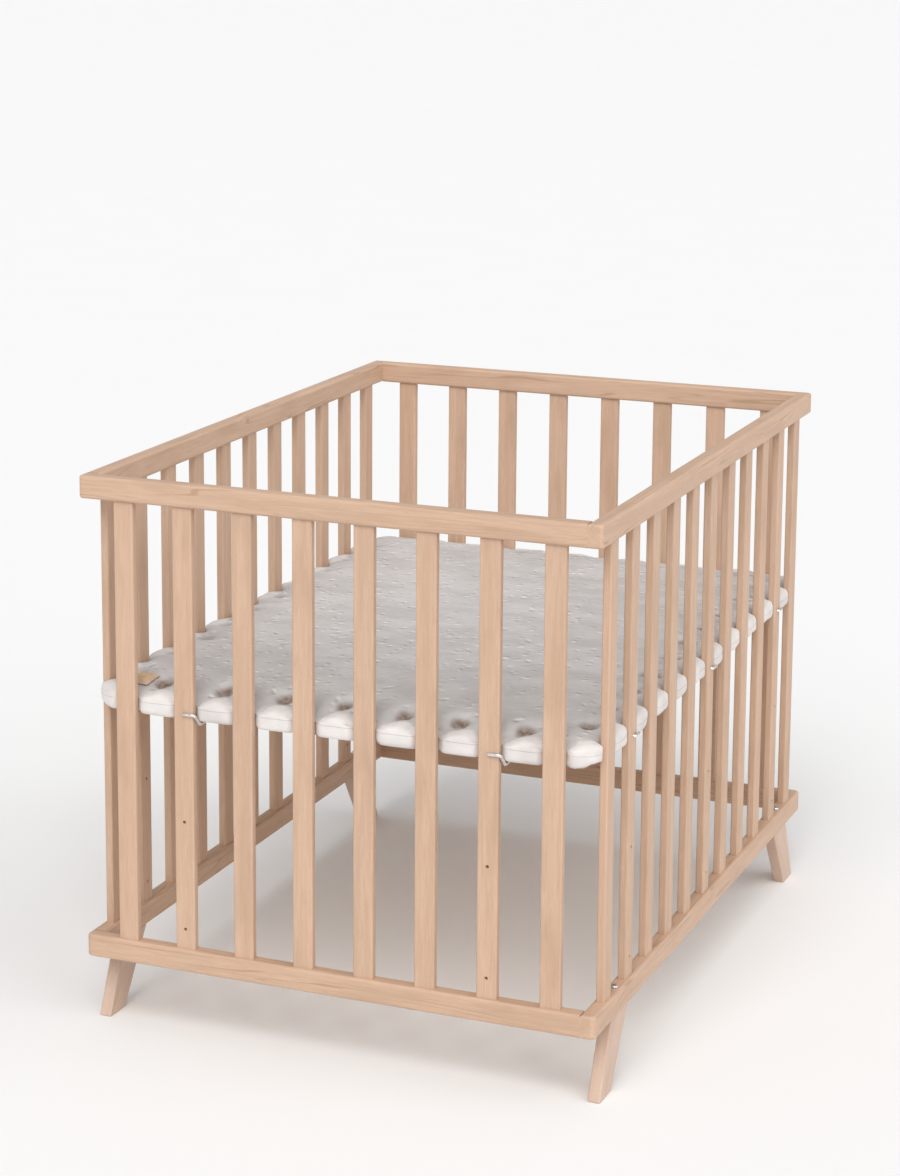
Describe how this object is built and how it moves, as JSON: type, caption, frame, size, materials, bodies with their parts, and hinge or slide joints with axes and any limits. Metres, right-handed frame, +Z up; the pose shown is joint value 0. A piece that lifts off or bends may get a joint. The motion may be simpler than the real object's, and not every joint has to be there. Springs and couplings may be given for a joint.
{
  "type": "playpen",
  "caption": "Rectangular slatted wooden playpen on four splayed legs, open at the top, with a padded floor mat on a raised deck held by wire hooks.",
  "frame": {"origin": "on the floor under the middle of the pen", "axes": "+X along the short front panel to the right, +Y along the long sides from front to back, +Z up"},
  "size_m": [0.77, 1.043, 0.808],
  "materials": {
    "rail_wood": "clear lacquered beech, satin",
    "slat_wood": "clear lacquered beech, satin",
    "leg_wood": "clear lacquered beech, satin",
    "dowel_wood": "plain beech",
    "deck_wood": "plain board",
    "hook_steel": "bright zinc plated wire",
    "bolt_chrome": "bright plated",
    "fixing_steel": "zinc plated",
    "cam_zinc": "cast zinc",
    "mat_cloth": "light grey cotton-like cover over foam and wadding",
    "label_cloth": "blank tan woven label"
  },
  "bodies": {
    "frame": {"back_bottom_rail": "rail_wood", "back_slat_1": "slat_wood", "back_slat_2": "slat_wood", "back_slat_7": "slat_wood", "back_slat_8": "slat_wood", "back_slats_3_4": "slat_wood", "back_slats_5_6": "slat_wood", "back_top_rail": "rail_wood", "cam_locks": "cam_zinc", "cam_studs": "fixing_steel", "front_bottom_rail": "rail_wood", "front_slat_1": "slat_wood", "front_slat_2": "slat_wood", "front_slat_7": "slat_wood", "front_slat_8": "slat_wood", "front_slats_3_4": "slat_wood", "front_slats_5_6": "slat_wood", "front_top_rail": "rail_wood", "left_bottom_rail": "rail_wood", "left_slat_1": "slat_wood", "left_slat_10": "slat_wood", "left_slat_11": "slat_wood", "left_slat_2": "slat_wood", "left_slat_5": "slat_wood", "left_slat_6": "slat_wood", "left_slat_7": "slat_wood", "left_slats_3_4": "slat_wood", "left_slats_8_9": "slat_wood", "left_top_rail": "rail_wood", "leg_back_left": "leg_wood", "leg_back_right": "leg_wood", "leg_bolts": "bolt_chrome", "leg_front_left": "leg_wood", "leg_front_right": "leg_wood", "leg_inserts": "fixing_steel", "right_bottom_rail": "rail_wood", "right_slat_1": "slat_wood", "right_slat_10": "slat_wood", "right_slat_11": "slat_wood", "right_slat_2": "slat_wood", "right_slat_5": "slat_wood", "right_slat_6": "slat_wood", "right_slat_7": "slat_wood", "right_slats_3_4": "slat_wood", "right_slats_8_9": "slat_wood", "right_top_rail": "rail_wood", "wood_dowels": "dowel_wood"},
    "deck": {"deck_board": "deck_wood"},
    "mat": {"mat": "mat_cloth", "mat_label": "label_cloth"},
    "back_hook_1": {"back_hook_1": "hook_steel"},
    "back_hook_2": {"back_hook_2": "hook_steel"},
    "front_hook_1": {"front_hook_1": "hook_steel"},
    "front_hook_2": {"front_hook_2": "hook_steel"},
    "left_hook_1": {"left_hook_1": "hook_steel"},
    "left_hook_2": {"left_hook_2": "hook_steel"},
    "left_hook_3": {"left_hook_3": "hook_steel"},
    "right_hook_1": {"right_hook_1": "hook_steel"},
    "right_hook_2": {"right_hook_2": "hook_steel"},
    "right_hook_3": {"right_hook_3": "hook_steel"}
  },
  "joints": [
    {"name": "deck_lift", "type": "slide", "parent": "frame", "child": "deck", "axis": [0, 0, 1], "range_m": [0, 0.36]},
    {"name": "mat_lift", "type": "slide", "parent": "deck", "child": "mat", "axis": [0, 0, 1], "range_m": [0, 0.36]},
    {"name": "back_hook_1_pull", "type": "slide", "parent": "frame", "child": "back_hook_1", "axis": [0, 1, 0], "range_m": [0, 0.016]},
    {"name": "back_hook_2_pull", "type": "slide", "parent": "frame", "child": "back_hook_2", "axis": [0, 1, 0], "range_m": [0, 0.016]},
    {"name": "front_hook_1_pull", "type": "slide", "parent": "frame", "child": "front_hook_1", "axis": [0, -1, 0], "range_m": [0, 0.016]},
    {"name": "front_hook_2_pull", "type": "slide", "parent": "frame", "child": "front_hook_2", "axis": [0, -1, 0], "range_m": [0, 0.016]},
    {"name": "left_hook_1_pull", "type": "slide", "parent": "frame", "child": "left_hook_1", "axis": [-1, 0, 0], "range_m": [0, 0.016]},
    {"name": "left_hook_2_pull", "type": "slide", "parent": "frame", "child": "left_hook_2", "axis": [-1, 0, 0], "range_m": [0, 0.016]},
    {"name": "left_hook_3_pull", "type": "slide", "parent": "frame", "child": "left_hook_3", "axis": [-1, 0, 0], "range_m": [0, 0.016]},
    {"name": "right_hook_1_pull", "type": "slide", "parent": "frame", "child": "right_hook_1", "axis": [1, 0, 0], "range_m": [0, 0.016]},
    {"name": "right_hook_2_pull", "type": "slide", "parent": "frame", "child": "right_hook_2", "axis": [1, 0, 0], "range_m": [0, 0.016]},
    {"name": "right_hook_3_pull", "type": "slide", "parent": "frame", "child": "right_hook_3", "axis": [1, 0, 0], "range_m": [0, 0.016]}
  ]
}
